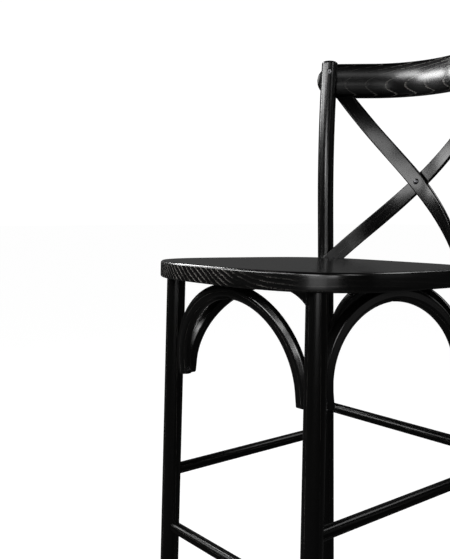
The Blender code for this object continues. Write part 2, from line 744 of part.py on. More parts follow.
# Centre the whole stool over its origin
crest_back = (crest_pose @ Vector((0.0, CREST_BOW + CREST_THICKNESS, CREST_HEIGHT / 2 - CREST_ROUND))).y
seat_front = -HALF_DEPTH * cos(SEAT_FALL) - (SEAT_THICKNESS - SEAT_EDGE_ROUND) * sin(SEAT_FALL)
STOOL.location.y = -(seat_front + crest_back) / 2
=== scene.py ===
"""Cross back bar stool in black stained open-grain wood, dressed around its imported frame.

Metres, +Z up. The stool's front faces -Y; its right is -X and its left +X, as it is sat on.
"""

import bpy
import numpy as np
from mathutils import Matrix, Vector


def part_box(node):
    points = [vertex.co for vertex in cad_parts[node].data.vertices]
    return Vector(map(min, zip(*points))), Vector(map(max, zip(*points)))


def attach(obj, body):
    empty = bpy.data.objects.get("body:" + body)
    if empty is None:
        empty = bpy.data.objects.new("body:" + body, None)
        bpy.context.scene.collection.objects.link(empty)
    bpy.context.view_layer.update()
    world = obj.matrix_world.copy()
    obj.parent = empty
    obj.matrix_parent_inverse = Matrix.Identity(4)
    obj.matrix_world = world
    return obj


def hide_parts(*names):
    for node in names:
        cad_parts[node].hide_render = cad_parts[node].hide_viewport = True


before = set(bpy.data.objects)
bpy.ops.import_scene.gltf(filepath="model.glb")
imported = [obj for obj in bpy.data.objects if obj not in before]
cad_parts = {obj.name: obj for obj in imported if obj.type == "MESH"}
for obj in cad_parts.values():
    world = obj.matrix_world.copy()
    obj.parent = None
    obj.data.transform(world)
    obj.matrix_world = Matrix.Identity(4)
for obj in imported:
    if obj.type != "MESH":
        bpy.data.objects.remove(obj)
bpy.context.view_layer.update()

# Seat: a solid ash slab whose grain runs front to back, cut to a rounded square, eased along both
# edges and scooped at its rear corners for the back posts. It falls a little towards the back.
# Open-grain wood, stained black under satin lacquer; its front edge shows the year rings.
SEAT_HEIGHT = 0.760
SEAT_FRONT_WIDTH = 0.471
SEAT_REAR_WIDTH = 0.428
SEAT_DEPTH = 0.462
SEAT_THICKNESS = 0.028
SEAT_FALL = np.radians(1.45)
SEAT_FRONT_SQUARENESS = 3.05
SEAT_REAR_SQUARENESS = 4.0
SEAT_TOP_ROUND = 0.0045
SEAT_UNDER_ROUND = 0.0035
LEG_RADIUS = 0.016
POST_PLACE = np.array([0.17438, 0.21090])
FIT = 0.0003
FACE_SHARES = np.array([0.02, 0.15, 0.3, 0.45, 0.6, 0.72, 0.83, 0.92])
OUTLINE_STEPS = 40000
SEAT_AROUND = 360
SHARP_ANGLE = np.radians(38)

# The slab's pith lies above its left half, and leans. Its year lines show on the front edge, less
# on top, and fade out towards the left.
SEAT_PITH = (0.167, 0.240)
SEAT_PITH_LEAN = 0.05
SEAT_FIGURE = 0.01
END_GRAIN_FIGURE = 0.55
END_GRAIN_START = 0.55
END_GRAIN_BLEND = 0.35
END_GRAIN_ON_TOP = 0.15
END_GRAIN_BELOW = 0.001
END_GRAIN_FADE = ((0.06, 0.14), (1.0, 0.12))

# Black stain, thicker and thinner in patches about 36 mm wide, with pale open pores that are drawn
# 25 times as long as wide. Along the grain the rings change slowly; at scale 1 their texture
# repeats after a tenth of pi.
STAIN_THICK = "#030303"
STAIN_THIN = "#0a0a0a"
STAIN_PATCH = 1 / 28
OPEN_PORE = "#c8c4be"
PORE_ALONG = 0.04
PORE_RELIEF = 0.0002
RING_ALONG = 0.06
RING_TEXTURE_STEP = 0.31416
COAT_ROUGHNESS = 0.20

seat_low, seat_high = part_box("seat_panel")
STOOL_Y = (seat_low[1] + seat_high[1]) / 2 + np.sin(SEAT_FALL) * SEAT_THICKNESS / 2


def linear(code):
    """An sRGB hex colour as linear RGBA."""
    parts = np.array([int(code[i:i + 2], 16) for i in (1, 3, 5)]) / 255
    curve = np.where(parts <= 0.04045, parts / 12.92, ((parts + 0.055) / 1.055) ** 2.4)
    return (*curve.tolist(), 1.0)


def add(tree, kind, inputs, **settings):
    """Add a node with its settings; an input is a plain value or the socket that feeds it."""
    made = tree.nodes.new(kind)
    for key, value in settings.items():
        setattr(made, key, value)
    for key, value in inputs.items():
        if isinstance(value, bpy.types.NodeSocket):
            tree.links.new(value, made.inputs[key])
        else:
            made.inputs[key].default_value = value
    return made


def black_ash(name, ring, line, pore, waver, gloss, coat=0.0, uneven_gloss=False):
    """Ash stained black: pale lines of open pores where each year ring starts, under satin lacquer.

    The attribute "grain" holds metres along the pith and away from it, "figure" how much the pores
    show, and "lacquer", on a piece with uneven gloss, the share of its gloss that is kept; on the
    crest that share is painted shade, lower where the posts' shadows fall. The rings are a saw of the
    distance from the pith, one tooth a ring, and a line takes the given share of a tooth; they
    waver and come and go in patches. Pores are noise drawn out along the grain; real ones are
    0.3 mm wide and are drawn 1 to 2 mm wide to show.
    """
    material = bpy.data.materials.new(name)
    material.use_nodes = True
    tree = material.node_tree
    shader = tree.nodes["Principled BSDF"]
    shader.inputs["Coat Roughness"].default_value = COAT_ROUGHNESS
    shader.inputs["Specular IOR Level"].default_value = gloss
    shader.inputs["Coat Weight"].default_value = coat
    # On the crest the kept gloss is painted shade, dimmed where the posts' shadows fall.
    if uneven_gloss:
        lacquer = add(tree, "ShaderNodeAttribute", {}, attribute_name="lacquer").outputs["Fac"]
        for socket, most in (("Specular IOR Level", gloss), ("Coat Weight", coat)):
            left = add(tree, "ShaderNodeMath", {0: lacquer, 1: most}, operation="MULTIPLY")
            tree.links.new(left.outputs[0], shader.inputs[socket])
    grain = add(tree, "ShaderNodeAttribute", {}, attribute_name="grain").outputs["Vector"]
    squeezed = add(tree, "ShaderNodeVectorMath", {0: grain, 1: (RING_ALONG, 1.0, 1.0)},
                   operation="MULTIPLY")
    rings = add(tree, "ShaderNodeTexWave",
                {"Vector": squeezed.outputs[0], "Scale": RING_TEXTURE_STEP / ring, "Distortion": waver,
                 "Detail": 2.0, "Detail Scale": 0.35, "Detail Roughness": 0.5},
                wave_type="RINGS", rings_direction="X", wave_profile="SAW")
    start = add(tree, "ShaderNodeMapRange",
                {"Value": rings.outputs["Fac"], "From Min": 1.0 - line, "From Max": 1.0},
                interpolation_type="SMOOTHSTEP")
    drawn = add(tree, "ShaderNodeVectorMath", {0: grain, 1: (PORE_ALONG / pore, 1 / pore, 1 / pore)},
                operation="MULTIPLY")
    noise = add(tree, "ShaderNodeTexNoise",
                {"Vector": drawn.outputs[0], "Scale": 1.0, "Detail": 2.0, "Roughness": 0.6})
    pits = add(tree, "ShaderNodeMapRange",
               {"Value": noise.outputs["Fac"], "From Min": 0.36, "From Max": 0.60},
               interpolation_type="SMOOTHSTEP")
    pores = add(tree, "ShaderNodeMath", {0: pits.outputs[0], 1: start.outputs[0]}, operation="MULTIPLY")
    patch = add(tree, "ShaderNodeTexNoise",
                {"Vector": squeezed.outputs[0], "Scale": 1 / STAIN_PATCH, "Detail": 2.0, "Roughness": 0.5})
    stain = add(tree, "ShaderNodeMix", {"Factor": patch.outputs["Fac"], "A": linear(STAIN_THICK),
                                        "B": linear(STAIN_THIN)}, data_type="RGBA")
    open_pores = add(tree, "ShaderNodeAttribute", {}, attribute_name="figure").outputs["Fac"]
    here = add(tree, "ShaderNodeMapRange",
               {"Value": patch.outputs["Fac"], "From Min": 0.30, "From Max": 0.55})
    there = add(tree, "ShaderNodeMath", {0: here.outputs[0], 1: open_pores}, operation="MULTIPLY")
    shown = add(tree, "ShaderNodeMath", {0: pores.outputs[0], 1: there.outputs[0]}, operation="MULTIPLY")
    colour = add(tree, "ShaderNodeMix", {"Factor": shown.outputs[0], "A": stain.outputs["Result"],
                                         "B": linear(OPEN_PORE)}, data_type="RGBA")
    tree.links.new(colour.outputs["Result"], shader.inputs["Base Color"])
    rough = add(tree, "ShaderNodeMapRange",
                {"Value": noise.outputs["Fac"], "From Min": 0.3, "From Max": 0.7,
                 "To Min": 0.20, "To Max": 0.23})
    tree.links.new(rough.outputs[0], shader.inputs["Roughness"])
    relief = add(tree, "ShaderNodeBump", {"Height": pores.outputs[0], "Strength": 0.08,
                                          "Distance": PORE_RELIEF}, invert=True)
    tree.links.new(relief.outputs[0], shader.inputs["Normal"])
    return material


def skin(name, node, rings, grain, material, figure=0.12, lacquer=1.0):
    """Close a stack of rings into a piece: quads between neighbours, a fan over each end ring.

    The rings are in the stool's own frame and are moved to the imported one. Faces are turned over
    if the volume they enclose is negative. The piece takes the place of the node it is made for.
    """
    count, around = rings.shape[:2]
    ids = np.arange(count * around).reshape(count, around)
    near, far = ids[:-1], ids[1:]
    quads = np.stack([near, np.roll(near, -1, 1), np.roll(far, -1, 1), far], -1).reshape(-1, 4)
    first, last = ids[0], ids[-1]
    pole = count * around
    fans = np.concatenate([
        np.stack([np.full(around, pole), np.roll(first, -1), first], -1),
        np.stack([np.full(around, pole + 1), last, np.roll(last, -1)], -1)])
    points = np.concatenate([rings.reshape(-1, 3), [rings[0].mean(0), rings[-1].mean(0)]])
    fibres = np.concatenate([grain.reshape(-1, 3), [grain[0].mean(0), grain[-1].mean(0)]])
    corners = np.concatenate([quads[:, [0, 1, 2]], quads[:, [0, 2, 3]], fans])
    a, b, c = (points[corners[:, i]] for i in range(3))
    if np.einsum("ij,ij->i", a, np.cross(b, c)).sum() < 0:
        quads, fans = quads[:, ::-1], fans[:, ::-1]
    mesh = bpy.data.meshes.new(name)
    mesh.from_pydata((points + [0.0, STOOL_Y, 0.0]).tolist(), [], quads.tolist() + fans.tolist())
    fibre = mesh.attributes.new("grain", "FLOAT_VECTOR", "POINT")
    fibre.data.foreach_set("vector", fibres.astype(np.float32).ravel())
    for label, values in (("figure", figure), ("lacquer", lacquer)):
        spread = np.zeros(len(points), np.float32)
        spread[:pole] = np.broadcast_to(values, (count, around)).ravel()
        mesh.attributes.new(label, "FLOAT", "POINT").data.foreach_set("value", spread)
    mesh.shade_smooth()
    mesh.set_sharp_from_angle(angle=SHARP_ANGLE)
    mesh.materials.append(material)
    piece = bpy.data.objects.new(name, mesh)
    bpy.context.scene.collection.objects.link(piece)
    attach(piece, "root")
    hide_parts(node)


def unit(vectors):
    """Vectors scaled to length one."""
    return vectors / np.linalg.norm(vectors, axis=-1, keepdims=True)


def run_along(path):
    """Length run along a line up to each of its points."""
    return np.concatenate([[0.0], np.cumsum(np.linalg.norm(np.diff(path, axis=0), axis=1))])


def seat_edge(turn):
    """Edge from above: a superellipse, its power and width changing from front to back."""
    power = np.where(np.sin(turn) > 0, 2 / SEAT_REAR_SQUARENESS, 2 / SEAT_FRONT_SQUARENESS)
    along = np.sign(np.sin(turn)) * np.abs(np.sin(turn)) ** power
    half = (SEAT_FRONT_WIDTH * (1 - along) + SEAT_REAR_WIDTH * (1 + along)) / 4
    return np.stack([half * np.sign(np.cos(turn)) * np.abs(np.cos(turn)) ** power,
                     SEAT_DEPTH / 2 * along], -1)


def even_loop(loop, count):
    """A closed line resampled at equal steps along its length."""
    closed = np.concatenate([loop, loop[:1]])
    run = run_along(closed)
    steps = np.linspace(0.0, run[-1], count, endpoint=False)
    return np.stack([np.interp(steps, run, closed[:, i]) for i in range(2)], -1)


def seat_rings():
    """Rings from the top's middle out over the eased edge, down the side and in underneath.

    Each ring is the edge line moved inwards by the profile's inset, then shrunk to the middle on
    the flat faces; points inside a back post are pushed out to its round scoop.
    """
    outline = seat_edge(np.linspace(0, 2 * np.pi, OUTLINE_STEPS, endpoint=False))
    edge = even_loop(outline, SEAT_AROUND)
    run = np.roll(edge, -1, 0) - np.roll(edge, 1, 0)
    outward = unit(np.stack([run[:, 1], -run[:, 0]], -1))
    bend = np.linspace(0, np.pi / 2, 8)
    under = SEAT_THICKNESS - SEAT_UNDER_ROUND
    side = np.linspace(SEAT_TOP_ROUND, under, 5)[1:-1]
    face = np.ones(len(FACE_SHARES))
    shrink = np.concatenate([FACE_SHARES, np.ones(2 * len(bend) + len(side)), FACE_SHARES[::-1]])
    inset = np.concatenate([
        SEAT_TOP_ROUND * face, SEAT_TOP_ROUND * (1 - np.sin(bend)), 0 * side,
        SEAT_UNDER_ROUND * (1 - np.cos(bend)), SEAT_UNDER_ROUND * face])
    drop = np.concatenate([
        0 * face, SEAT_TOP_ROUND * (1 - np.cos(bend)), side,
        under + SEAT_UNDER_ROUND * np.sin(bend), SEAT_THICKNESS * face])
    flat_rings = (edge - outward * inset[:, None, None]) * shrink[:, None, None]
    for mirror in (-1, 1):
        away = flat_rings - POST_PLACE * [mirror, 1]
        reach = np.linalg.norm(away, axis=-1, keepdims=True)
        push = np.maximum(LEG_RADIUS + FIT - reach, 0.0)
        flat_rings = flat_rings + away / reach * push
    height = np.broadcast_to(-drop[:, None, None], flat_rings.shape[:2] + (1,))
    return np.concatenate([flat_rings, height], -1)


def tip_seat(points):
    """Turn the level board by the seat's fall and lift it to its height."""
    x, y, z = np.moveaxis(points, -1, 0)
    cos, sin = np.cos(SEAT_FALL), np.sin(SEAT_FALL)
    return np.stack([x, y * cos + z * sin, SEAT_HEIGHT - y * sin + z * cos], -1)


# The eye sees near black with a satin sheen, and pale broken lines where the front edge cuts the rings.
seat_ash = black_ash("black_stained_ash_slab", ring=0.0075, line=0.40, pore=0.0018, waver=5.0, gloss=0.8)
level_seat = seat_rings()
seat_x, seat_y, seat_z = np.moveaxis(level_seat, -1, 0)
seat_fibre = np.stack([seat_y, seat_x - SEAT_PITH[0], seat_z - SEAT_PITH[1] + SEAT_PITH_LEAN * seat_y], -1)
end_grain = np.clip(-2 * seat_y / SEAT_DEPTH - END_GRAIN_START, 0, END_GRAIN_BLEND) / END_GRAIN_BLEND
end_grain = end_grain * np.where(seat_z < -END_GRAIN_BELOW, 1.0, END_GRAIN_ON_TOP)
end_grain = end_grain * np.interp(seat_x, *END_GRAIN_FADE)
skin("seat_board", "seat_panel", tip_seat(level_seat), seat_fibre, seat_ash,
     SEAT_FIGURE + END_GRAIN_FIGURE * end_grain)

# Front legs: straight turned ash, tenoned into the seat from below and splayed a little forwards
# and outwards. Stained and lacquered like the seat; the grain runs up the leg.
FRONT_LEG_PLACE = (0.170, -0.1655)
FRONT_SPLAY = np.radians(1.62)
SIDE_SPLAY = np.radians(0.75)
FOOT_HEIGHT = 0.0053
FOOT_CHAMFER = 0.0015
FOOT_STEP = 0.0001
ANKLE_HEIGHT = 0.02
SIDES = {"right": -1, "left": 1}
PLAIN_GRAIN = {"ring": 0.0090, "line": 0.10, "pore": 0.0011, "waver": 2.2}


def seat_under(y):
    """Height of the seat's lower face."""
    return SEAT_HEIGHT - y * np.tan(SEAT_FALL) - SEAT_THICKNESS / np.cos(SEAT_FALL)


FRONT_LEG_TOP = seat_under(FRONT_LEG_PLACE[1])


def front_axis(side, height):
    """Points of a front leg's axis at given heights."""
    drop = FRONT_LEG_TOP - np.asarray(height)
    return np.stack([side * (FRONT_LEG_PLACE[0] + drop * np.tan(SIDE_SPLAY)),
                     FRONT_LEG_PLACE[1] - drop * np.tan(FRONT_SPLAY), np.asarray(height)], -1)


def tube(path, radius, guide, around=96):
    """Round rings square to a path, and their fibres: length run, and the two offsets from the axis."""
    tangent = unit(np.gradient(path, axis=0))
    first = unit(np.cross(guide, tangent))
    second = np.cross(tangent, first)
    turn = np.linspace(0, 2 * np.pi, around, endpoint=False)[:, None]
    spread = np.broadcast_to(radius, len(path))[:, None, None]
    rings = path[:, None] + spread * (np.cos(turn) * first[:, None] + np.sin(turn) * second[:, None])
    along = np.broadcast_to(run_along(path)[:, None], rings.shape[:2])
    fibre = np.stack([along, spread[..., 0] * np.cos(turn[:, 0]), spread[..., 0] * np.sin(turn[:, 0])], -1)
    return rings, fibre


def pith(fibre, start, offset, lean):
    """Fibres set off from the tree's pith: shifted along it, away from it, and leaning from it."""
    moved = fibre + [start, *offset]
    moved[..., 1] += lean[0] * fibre[..., 0]
    moved[..., 2] += lean[1] * fibre[..., 0]
    return moved


def level_ends(rings, path, low, high):
    """Slide the last and first rings along the leg until they lie on the floor cut and under the seat."""
    lean = unit(path[0] - path[-1])
    rings[-2:] += lean * ((low - rings[-2:, :, 2]) / lean[2])[..., None]
    rings[-2] += lean * FOOT_CHAMFER
    if high is not None:
        gap = high(rings[0, :, 1]) - FIT - rings[0, :, 2]
        rings[0] += lean * (gap / lean[2])[:, None]
    return rings


# The eye sees black with long soft streaks of light down the round, and only a hint of pores.
leg_ash = black_ash("black_stained_ash_turned", **PLAIN_GRAIN, gloss=0.6)
for word, side in SIDES.items():
    heights = np.concatenate([np.linspace(FRONT_LEG_TOP, ANKLE_HEIGHT, 60),
                              [FOOT_HEIGHT, FOOT_HEIGHT - FOOT_STEP]])
    width = np.full(len(heights), LEG_RADIUS)
    width[-1] -= FOOT_CHAMFER
    axis = front_axis(side, heights)
    rings, fibre = tube(axis, width, (0.0, 1.0, 0.0))
    rings = level_ends(rings, axis, FOOT_HEIGHT, seat_under)
    fibre = pith(fibre, start=side * 0.4, offset=(0.021, 0.034), lean=(0.012, -0.02))
    skin(f"turned_front_leg_{word}", f"front_leg_{word}", rings, fibre, leg_ash)

# Rear legs: turned ash that runs on above the seat as the back posts, steam bent gently backwards,
# with rounded tops. Each has one recessed screw in front for the crest and one for the seat.
REAR_SPLAY = np.radians(1.2)
POST_RISE = 0.3895
POST_BEND_START = 0.100
POST_BEND_RADIUS = 3.0
POST_TOP_ROUND = 0.005
POST_AROUND = 168
SHIN_RINGS = 9
SEAT_CORNER = np.radians(51.6)
SCREW_RADIUS = 0.0040
SCREW_SINK = 0.0020
SCREW_ZONE = 0.02
HOLE_RIM = 0.0006
HOLE_SPARE = 0.0010
HOLE_NEAR = 0.008
CREST_BELOW_POST_TOP = 0.0335
CREST_LEVEL = SEAT_HEIGHT + POST_RISE - CREST_BELOW_POST_TOP
CREST_SCREW_RISE = 0.012
CREST_TURN = np.radians(43.5)
CREST_RAKE = np.radians(1.7)
screws = {}


def rear_axis(side, height):
    """Points of a rear leg's axis: straight, then on a wide arc above the start of its bend."""
    rise = np.asarray(height) - SEAT_HEIGHT
    past = np.maximum(0.0, rise - POST_BEND_START)
    back = POST_BEND_RADIUS - np.sqrt(POST_BEND_RADIUS ** 2 - past ** 2)
    return np.stack([side * POST_PLACE[0] + 0 * rise,
                     POST_PLACE[1] - rise * np.tan(REAR_SPLAY) + back, np.asarray(height)], -1)


def stretch(start, end, count):
    """Even steps from a start, which is left out, to an end."""
    return np.linspace(start, end, count)[1:]


def sink(rings, name, place, inward):
    """Press a screw's recess into a surface: points within its radius go in past the screw's head."""
    screws[name] = (place, inward)
    away = rings - place
    deep = away @ inward
    reach = np.linalg.norm(away - deep[..., None] * inward, axis=-1)
    edge = np.clip((SCREW_RADIUS + HOLE_RIM - reach) / HOLE_RIM, 0.0, 1.0)
    near = (np.abs(deep) < HOLE_NEAR) & (edge > 0)
    depth = np.where(near, (SCREW_SINK + HOLE_SPARE - deep) * edge, 0.0)
    return rings + depth[..., None] * inward


crest_pose = np.array(Matrix.Rotation(-CREST_RAKE, 3, "X"))
crest_place = rear_axis(0, CREST_LEVEL)
post_top = SEAT_HEIGHT + POST_RISE
post_level = SEAT_HEIGHT - POST_PLACE[1] * np.tan(SEAT_FALL) - SEAT_THICKNESS / 2
for word, side in SIDES.items():
    bend = np.linspace(np.pi / 2, 0, 9)
    heights = np.concatenate([
        post_top - POST_TOP_ROUND * (1 - np.sin(bend)),
        stretch(post_top - POST_TOP_ROUND, CREST_LEVEL, 70),
        stretch(CREST_LEVEL, post_level + SCREW_ZONE, 70),
        stretch(post_level + SCREW_ZONE, post_level - SCREW_ZONE, 60),
        stretch(post_level - SCREW_ZONE, ANKLE_HEIGHT, 90),
        [FOOT_HEIGHT, FOOT_HEIGHT - FOOT_STEP]])
    width = np.full(len(heights), LEG_RADIUS)
    width[:len(bend)] = LEG_RADIUS - POST_TOP_ROUND * (1 - np.cos(bend))
    width[-1] -= FOOT_CHAMFER
    axis = rear_axis(side, heights)
    rings, fibre = tube(axis, width, (0.0, 1.0, 0.0), POST_AROUND)
    rings = level_ends(rings, axis[-SHIN_RINGS:], FOOT_HEIGHT, None)
    outward = crest_pose @ np.array([side * np.sin(CREST_TURN), np.cos(CREST_TURN), 0.0])
    place = crest_place + crest_pose @ np.array([side * POST_PLACE[0], 0.0, CREST_SCREW_RISE])
    rings = sink(rings, f"crest_screw_{word}", place - outward * LEG_RADIUS, outward)
    inward = -np.array([side * np.cos(SEAT_CORNER), np.sin(SEAT_CORNER), 0.0])
    rings = sink(rings, f"post_screw_{word}", rear_axis(side, post_level) - inward * LEG_RADIUS, inward)
    fibre = pith(fibre, start=0.9 + side * 0.3, offset=(0.018, -0.03), lean=(-0.015, 0.012))
    skin(f"bent_rear_leg_{word}", f"rear_leg_{word}", rings, fibre, leg_ash)

# Crest rail: one broad ash board with a crowned front, steam bent in its middle, with straight ends
# that taper to a half ellipse and are let into the backs of the posts. Flat sawn, so that the year
# rings show as long arches on its front. Painted shade: its gloss is turned down towards the ends,
# most on the lower half, where the posts' shadows fall on it.
CREST_HEIGHT = 0.068
CREST_THICKNESS = 0.022
CREST_ROUND = 0.006
CREST_CROWN = 0.0045
CREST_APEX = 0.1273
CREST_HOUSING = 0.004
CREST_OVERHANG = 0.024
CREST_END_LENGTH = 0.046
CREST_FIGURE = ((0.08, 0.14), (0.5, 0.1))
CREST_SHADED_GLOSS = ((0.02, 0.13), (1.0, 0.25))
CREST_SHADE_ALONG = ((0.05, 0.12), (0.0, 0.9))
CREST_SHADE_BELOW = ((-0.012, 0.004), (1.0, 0.0))
PROFILE_STEPS = 480
post_to_crest = LEG_RADIUS - CREST_HOUSING + CREST_THICKNESS / 2
plan_reach = POST_PLACE[0] + post_to_crest * np.sin(CREST_TURN)
plan_fall = CREST_APEX - post_to_crest * np.cos(CREST_TURN)
open_turn = 1 - np.cos(CREST_TURN)
crest_radius = (plan_reach * np.sin(CREST_TURN) - plan_fall * np.cos(CREST_TURN)) / open_turn
crest_straight = (plan_fall - crest_radius * open_turn) / np.sin(CREST_TURN)


def plan(along):
    """The back's plan at lengths along it: place, fall from the middle and turn; an arc, then straight."""
    turn = np.clip(along / crest_radius, -CREST_TURN, CREST_TURN)
    straight = along - turn * crest_radius
    return (crest_radius * np.sin(turn) + straight * np.cos(turn),
            crest_radius * (1 - np.cos(turn)) + straight * np.sin(turn), turn)


def rounded_box(width, height, corner, count, cut=0.0):
    """Closed profile of a rectangle with cut and rounded corners, at equal steps.

    For each direction it is the cut rectangle's outermost tip, moved out by the corner's radius.
    """
    turn = np.linspace(0, 2 * np.pi, PROFILE_STEPS, endpoint=False) + np.pi / PROFILE_STEPS
    facing = np.stack([np.cos(turn), np.sin(turn)], -1)
    reach = np.array([width, height]) / 2 - corner
    tips = np.stack([(reach - taken) * sign for taken in ((0, cut), (cut, 0))
                     for sign in ((1, 1), (-1, 1), (-1, -1), (1, -1))])
    return even_loop(tips[np.argmax(facing @ tips.T, 1)] + corner * facing, count)


def crest_board():
    """The board's rings along its length: a rounded box that closes in at the ends, then bent.

    The rings stand closer towards the ends. Near an end the height follows a half ellipse, and over
    the last edge rounding the thickness follows a quarter circle. The front is taken back by a
    parabola across the height.
    """
    half = crest_radius * CREST_TURN + crest_straight + CREST_OVERHANG
    blend = np.linspace(-1, 1, 300)
    x = half * (0.55 * blend + 0.45 * np.sin(blend * np.pi / 2))[:, None] * (1 - 1e-6)
    into = np.maximum(np.abs(x) - (half - CREST_END_LENGTH), 0.0) / CREST_END_LENGTH
    last = np.maximum(np.abs(x) - (half - CREST_ROUND), 0.0) / CREST_ROUND
    box = rounded_box(CREST_HEIGHT, CREST_THICKNESS, CREST_ROUND, 128)
    y = box[:, 0] * np.sqrt(1 - into ** 2)
    z = box[:, 1] * (1 - CREST_ROUND * 2 / CREST_THICKNESS * (1 - np.sqrt(1 - last ** 2)))
    out = CREST_CROWN * (2 * y / CREST_HEIGHT) ** 2 * (z / CREST_THICKNESS + 0.5) - z
    place, fall, turn = plan(x)
    bent = np.stack([place + out * np.sin(turn), CREST_APEX - fall + out * np.cos(turn), y], -1)
    return bent @ crest_pose.T + crest_place, np.stack([np.broadcast_to(x, y.shape), y, z], -1)


# The eye sees a long highlight on glossy black and pale arched year lines. Its duller ends are
# painted shade for the posts' shadows.
crest_ash = black_ash("black_stained_ash_bent", ring=0.0042, line=0.16, pore=0.0011, waver=2.2,
                      gloss=1.0, coat=1.0, uneven_gloss=True)
rings, fibre = crest_board()
# Painted shade: the kept gloss falls towards the ends and, near them, on the lower half, where the posts'
# shadows fall.
from_middle = np.abs(fibre[..., 0])
painted_shade = np.interp(from_middle, *CREST_SHADE_ALONG) * np.interp(fibre[..., 1], *CREST_SHADE_BELOW)
skin("bent_crest_rail", "crest_rail", rings,
     pith(fibre, start=0.3, offset=(0.014, 0.045), lean=(0.02, -0.10)), crest_ash,
     np.interp(from_middle, *CREST_FIGURE), np.interp(from_middle, *CREST_SHADED_GLOSS) * (1.0 - painted_shade))

# Back slats: two thin flat ash strips, crossed one in front of the other and laid on the bowed,
# leaning back. Their feet are let into the seat and their heads into the crest.
SLAT_WIDTH = 0.0302
SLAT_THICKNESS = 0.0065
SLAT_ROUND = 0.0016
SLAT_GAP = 0.0006
SLAT_SWEEP = 0.045
SLAT_FOOT_INSET = 0.0233
SLAT_FOOT_GAP = 0.0124
SLAT_FOOT_DEPTH = 0.009
SLAT_HEAD_DEPTH = 0.016
SLAT_OVERRUN = 0.01
SLAT_FLATNESS = 0.6
SLAT_FLAT_FROM = 0.03
SLAT_RINGS = 160
CROSSING_SETBACK = 0.049
CROSSING_RISE = 0.1441
crossing = np.array([0.0, SEAT_DEPTH / 2 + CROSSING_SETBACK, SEAT_HEIGHT + CROSSING_RISE])
foot_x, foot_y = POST_PLACE[0] - LEG_RADIUS - SLAT_FOOT_GAP, SEAT_DEPTH / 2 - SLAT_FOOT_INSET
foot_z = SEAT_HEIGHT - foot_y * np.tan(SEAT_FALL)
lengths = np.linspace(0.0, 0.3, 3001)
foot_along = np.interp(foot_x, plan(lengths)[0], lengths)
slope = unit(np.array([foot_along, crossing[2] - foot_z]))
head_along = (CREST_LEVEL - CREST_HEIGHT / 2 - crossing[2]) * slope[0] / slope[1]
head_x, head_fall = plan(head_along)[:2]
slat_head = crest_place + crest_pose @ np.array([head_x, CREST_APEX - head_fall, -CREST_HEIGHT / 2])
low_rise, high_rise = foot_z - crossing[2], slat_head[2] - crossing[2]
low_lean = (foot_y - crossing[1] + plan(foot_along)[1]) / low_rise
high_lean = (slat_head[1] - crossing[1] + head_fall) / high_rise
back_curl = (high_lean - low_lean) / (high_rise - low_rise)
back_lean = low_lean - back_curl * low_rise


def back_surface(along, height):
    """Points of the back, and its normals to the rear: the crest's plan on a parabola in profile."""
    x, fall, turn = plan(along)
    rise = height - crossing[2]
    place = np.stack([x, crossing[1] + back_lean * rise + back_curl * rise ** 2 - fall, height], -1)
    lean = back_lean + 2 * back_curl * rise
    return place, unit(np.stack([np.sin(turn), np.cos(turn), -np.cos(turn) * lean], -1))


def slat(mirror, layer):
    """A strip's rings: its rounded box carried along a gentle sweep of the unrolled back.

    The strip lies on the back, and flatter than it between the crossing and the head. Strips stand
    apart where they cross and come together at their ends, by the fourth power of the share of the
    way. Points past the level trims slide back along the strip, and points inside a post are
    pushed out of it.
    """
    low, high = foot_z - SLAT_FOOT_DEPTH, slat_head[2] + SLAT_HEAD_DEPTH
    box = rounded_box(SLAT_WIDTH, SLAT_THICKNESS, SLAT_ROUND, 72)
    run = np.linspace((low - crossing[2]) / slope[1] - SLAT_OVERRUN,
                      (high - crossing[2]) / slope[1] + SLAT_OVERRUN, SLAT_RINGS)
    along = run * slope[0] - SLAT_SWEEP * run ** 2 * slope[1]
    height = crossing[2] + run * slope[1] + SLAT_SWEEP * run ** 2 * slope[0]
    middle, normal = back_surface(along, height)
    share = np.minimum(np.abs(along / np.where(along > 0, head_along, foot_along)), 1.0)
    tangent = unit(np.gradient(middle, axis=0))
    ease = np.minimum(along / SLAT_FLAT_FROM, 1)
    flat = np.where(along > 0, SLAT_FLATNESS * (1 - share ** 4) * ease, 0.0)
    normal = normal * np.stack([1 - flat, np.ones(SLAT_RINGS), np.ones(SLAT_RINGS)], -1)
    normal = unit(normal - (normal * tangent).sum(-1, keepdims=True) * tangent)
    side = np.cross(normal, tangent)
    apart = layer * (1 - share ** 4) * (SLAT_THICKNESS + SLAT_GAP) / 2
    rings = (middle[:, None] + box[:, :1] * side[:, None]
             + (box[:, 1] + apart[:, None])[..., None] * normal[:, None])
    past = np.clip(rings[..., 2], low, high) - rings[..., 2]
    rings = rings + (past / tangent[:, 2:])[..., None] * tangent[:, None]
    away = rings - rear_axis(-1, rings[..., 2])
    away[..., 2] = 0.0
    gap = np.linalg.norm(away, axis=-1, keepdims=True)
    inside = np.where(rings[..., 2:] < crossing[2], np.maximum(LEG_RADIUS + FIT - gap, 0.0), 0.0)
    rings = rings + away / gap * inside
    fibre = np.stack(np.broadcast_arrays(run[:, None], box[:, 0], box[:, 1]), -1)
    return rings * [mirror, 1, 1], fibre


# The eye sees a thinner coat: dull black with a broad, soft gleam.
strip_ash = black_ash("black_stained_ash_strip", **PLAIN_GRAIN, gloss=0.3)
for word, mirror, layer in (("front", -1, -1), ("rear", 1, 1)):
    rings, fibre = slat(mirror, layer)
    fibre = pith(fibre, start=layer * 0.6, offset=(0.02, 0.03), lean=(0.015, 0.03))
    skin(f"bent_slat_{word}", f"cross_slat_{word}", rings, fibre, strip_ash)

